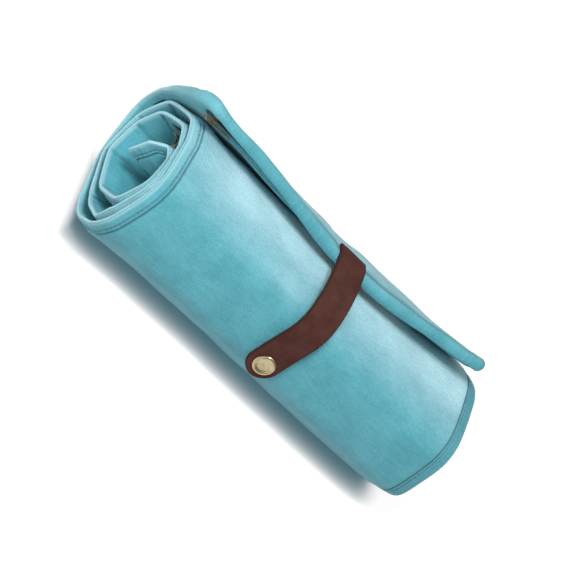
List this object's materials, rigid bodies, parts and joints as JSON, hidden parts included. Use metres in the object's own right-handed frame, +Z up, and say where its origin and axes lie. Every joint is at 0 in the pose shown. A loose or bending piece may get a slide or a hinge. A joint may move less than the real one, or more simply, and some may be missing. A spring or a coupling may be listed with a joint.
{
  "type": "jewelry roll",
  "caption": "Padded velvet jewelry mat rolled into a soft cylinder, closed by a leather strap with a brass snap, with zipped pockets on its lining.",
  "frame": {"origin": "under the middle of the rolled mat, on the surface that it rests on", "axes": "+X along the roll away from the end that shows the winding, -Y towards the snap side, +Z up"},
  "size_m": [0.231, 0.0936, 0.086],
  "materials": {
    "velvet": "short-pile velvet, teal blue, brushed marks",
    "leather": "smooth dark brown with painted edges",
    "brass": "satin, aged brass",
    "zip_tape": "woven dark brown tape"
  },
  "bodies": {
    "roll": {"core_tab": "velvet", "core_top": "velvet", "inner_front_up": "velvet", "inner_front": "velvet", "inner_front_low": "velvet", "inner_bottom": "velvet", "inner_back_low": "velvet", "inner_back": "velvet", "inner_back_up": "velvet", "middle_top": "velvet", "middle_front_up": "velvet", "middle_front": "velvet", "middle_front_low": "velvet", "middle_bottom": "velvet", "middle_back_low": "velvet", "middle_back": "velvet", "middle_back_up": "velvet", "outer_top": "velvet", "outer_front_up": "velvet", "outer_front": "velvet", "outer_front_low": "velvet", "outer_bottom": "velvet", "snap_stud": "brass", "snap_washer": "brass", "spare_stud": "brass", "spare_washer": "brass", "zip_core_tape_lower": "zip_tape", "zip_core_tape_upper": "zip_tape", "zip_core_teeth_lower": "brass", "zip_core_teeth_upper": "brass"},
    "flap_low": {"flap_low": "velvet"},
    "flap_back": {"flap_back": "velvet", "zip_back_tape_lower": "zip_tape", "zip_back_tape_upper": "zip_tape", "zip_back_teeth_lower": "brass", "zip_back_teeth_upper": "brass"},
    "flap_up": {"flap_up": "velvet"},
    "flap_edge": {"flap_edge": "velvet", "strap_anchor": "leather", "zip_flap_tape_lower": "zip_tape", "zip_flap_tape_upper": "zip_tape", "zip_flap_teeth_lower": "brass", "zip_flap_teeth_upper": "brass"},
    "strap_root": {"strap_root": "leather"},
    "strap_mid": {"strap_mid": "leather"},
    "strap_tip": {"strap_tip": "leather", "snap_cap": "brass", "snap_socket": "brass"},
    "flap_slider": {"zip_flap_slider": "brass", "zip_flap_pull": "brass"},
    "back_slider": {"zip_back_slider": "brass", "zip_back_pull": "brass"},
    "core_slider": {"zip_core_slider": "brass"},
    "core_pull": {"zip_core_pull": "brass"}
  },
  "joints": [
    {"name": "flap_open", "type": "hinge", "parent": "roll", "child": "flap_low", "pos_m": [0.003, 0.02312, 0], "axis": [-1, 0, 0], "range_deg": [0, 45]},
    {"name": "flap_back_fold", "type": "hinge", "parent": "flap_low", "child": "flap_back", "pos_m": [0.003, 0.04698, 0.02387], "axis": [-1, 0, 0], "range_deg": [0, 45]},
    {"name": "flap_up_fold", "type": "hinge", "parent": "flap_back", "child": "flap_up", "pos_m": [0.003, 0.04698, 0.05348], "axis": [-1, 0, 0], "range_deg": [0, 41]},
    {"name": "flap_edge_fold", "type": "hinge", "parent": "flap_up", "child": "flap_edge", "pos_m": [0.003, 0.0227, 0.07776], "axis": [-1, 0, 0], "range_deg": [0, 20]},
    {"name": "strap_open", "type": "hinge", "parent": "flap_edge", "child": "strap_root", "pos_m": [0.003, 0.01054, 0.08597], "axis": [-1, 0, 0], "range_deg": [0, 24]},
    {"name": "strap_mid_bend", "type": "hinge", "parent": "strap_root", "child": "strap_mid", "pos_m": [0.003, -0.01401, 0.08382], "axis": [-1, 0, 0], "range_deg": [0, 17]},
    {"name": "strap_tip_bend", "type": "hinge", "parent": "strap_mid", "child": "strap_tip", "pos_m": [0.003, -0.03217, 0.07203], "axis": [-1, 0, 0], "range_deg": [0, 33]},
    {"name": "flap_zip", "type": "slide", "parent": "flap_edge", "child": "flap_slider", "axis": [1, 0, 0], "range_m": [0, 0.2015]},
    {"name": "back_zip", "type": "slide", "parent": "flap_back", "child": "back_slider", "axis": [1, 0, 0], "range_m": [0, 0.2015]},
    {"name": "core_zip", "type": "slide", "parent": "roll", "child": "core_slider", "axis": [1, 0, 0], "range_m": [0, 0.2015]},
    {"name": "core_pull_swing", "type": "hinge", "parent": "core_slider", "child": "core_pull", "pos_m": [-0.09775, 0.0194, 0.05239], "axis": [0, -0.7071, 0.7071], "range_deg": [-80, 80]}
  ],
  "couplings": [
    {"joint": "flap_back_fold", "follows": "flap_open", "ratio": 1},
    {"joint": "flap_up_fold", "follows": "flap_open", "ratio": 0.91111},
    {"joint": "flap_edge_fold", "follows": "flap_open", "ratio": 0.44444},
    {"joint": "strap_mid_bend", "follows": "strap_open", "ratio": 0.70833},
    {"joint": "strap_tip_bend", "follows": "strap_open", "ratio": 1.375}
  ]
}
